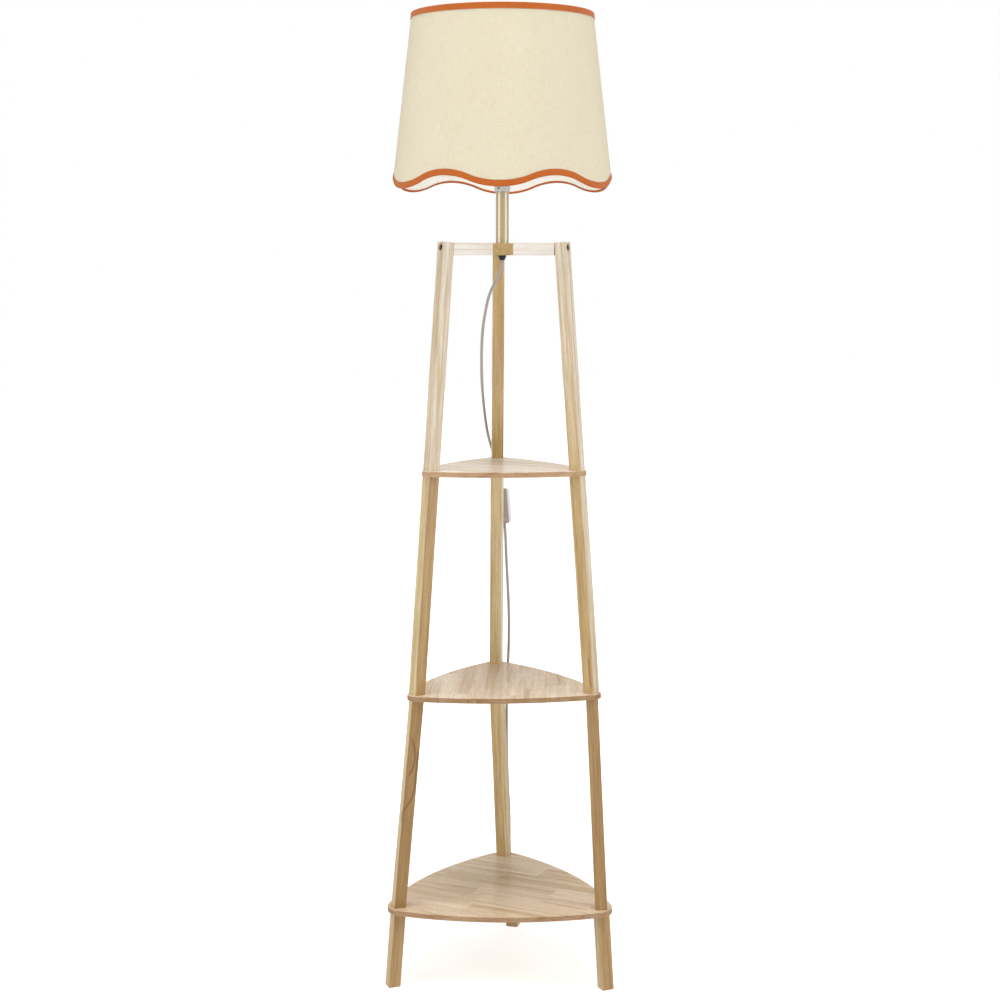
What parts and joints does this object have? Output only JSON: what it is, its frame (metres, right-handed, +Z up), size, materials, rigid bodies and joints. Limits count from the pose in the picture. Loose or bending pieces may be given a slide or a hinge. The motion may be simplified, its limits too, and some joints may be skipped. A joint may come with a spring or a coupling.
{
  "type": "shelf floor lamp",
  "caption": "Floor lamp on leaning square wooden legs that carry rounded triangular shelves, with a stem, a lampholder and a tapered linen shade with a wavy hem.",
  "frame": {"origin": "middle of the box round the lamp without its cord, at the floor", "axes": "+Z up, +Y towards the rear leg and the cord, +X to the right seen from the front"},
  "size_m": [0.378, 0.496, 1.6],
  "materials": {
    "leg_wood": "clear satin lacquer on pale straight-grained hardwood",
    "arm_wood": "clear satin lacquer on pale hardwood",
    "hub_wood": "clear satin lacquer, end grain",
    "dowel_wood": "plain beech",
    "shelf_wood": "clear satin lacquer on glued strips",
    "brass_tube": "satin lacquered brass finish",
    "dark_steel": "blackened",
    "zinc_steel": "zinc plated",
    "black_plastic": "moulded",
    "holder_plastic": "moulded, light grey",
    "contact_brass": "bare",
    "bulb_glass": "opal",
    "bulb_metal": "pressed",
    "linen": "plain weave, cream",
    "shade_lining": "white lining sheet",
    "orange_binding": "folded bias binding",
    "white_wire": "white coated wire",
    "cord_sheath": "smooth round sheath, grey",
    "tie_strap": "flat strap",
    "switch_white": "moulded",
    "switch_grey": "moulded, warm grey",
    "plug_plastic": "moulded on the cord",
    "plug_nickel": "nickel plated"
  },
  "bodies": {
    "lamp": {"left_leg_upper": "leg_wood", "left_leg_middle": "leg_wood", "left_leg_lower": "leg_wood", "left_leg_foot": "leg_wood", "left_arm": "arm_wood", "right_leg_upper": "leg_wood", "right_leg_middle": "leg_wood", "right_leg_lower": "leg_wood", "right_leg_foot": "leg_wood", "right_arm": "arm_wood", "rear_leg_upper": "leg_wood", "rear_leg_middle": "leg_wood", "rear_leg_lower": "leg_wood", "rear_leg_foot": "leg_wood", "rear_arm": "arm_wood", "leg_bolts": "dark_steel", "arm_inserts": "zinc_steel", "shelf_studs": "zinc_steel", "leg_inserts": "zinc_steel", "hub_block": "hub_wood", "hub_dowels": "dowel_wood", "top_shelf": "shelf_wood", "middle_shelf": "shelf_wood", "bottom_shelf": "shelf_wood", "stem_tube": "brass_tube", "threaded_tube": "zinc_steel", "hub_washer": "zinc_steel", "hub_nut": "zinc_steel", "cord_grip": "black_plastic", "supply_cable": "cord_sheath", "holder_cap": "holder_plastic", "holder_lock_screw": "dark_steel", "contact_block": "holder_plastic", "holder_contacts": "contact_brass", "holder_body": "holder_plastic", "screw_shell": "contact_brass", "shade_ring": "holder_plastic", "bulb_globe": "bulb_glass", "bulb_cap": "bulb_metal", "bulb_contact": "contact_brass", "shade_linen": "linen", "shade_liner": "shade_lining", "top_trim": "orange_binding", "hem_trim": "orange_binding", "top_wire": "white_wire", "shade_carrier": "white_wire", "cord_upper": "cord_sheath", "cord_lower": "cord_sheath", "cord_tail": "cord_sheath", "cord_coil": "cord_sheath", "coil_tie": "tie_strap", "switch_cover": "switch_white", "switch_base": "switch_grey", "switch_screws": "zinc_steel", "switch_contacts": "contact_brass", "rocker_pin": "zinc_steel", "plug_body": "plug_plastic", "plug_pins": "plug_nickel"},
    "rocker": {"switch_rocker": "switch_grey"}
  },
  "joints": [
    {"name": "rocker_hinge", "type": "hinge", "parent": "lamp", "child": "rocker", "pos_m": [0.02111, 0.16232, 0.77008], "axis": [0.9968, 0, 0.0798], "range_deg": [0, 14]}
  ]
}
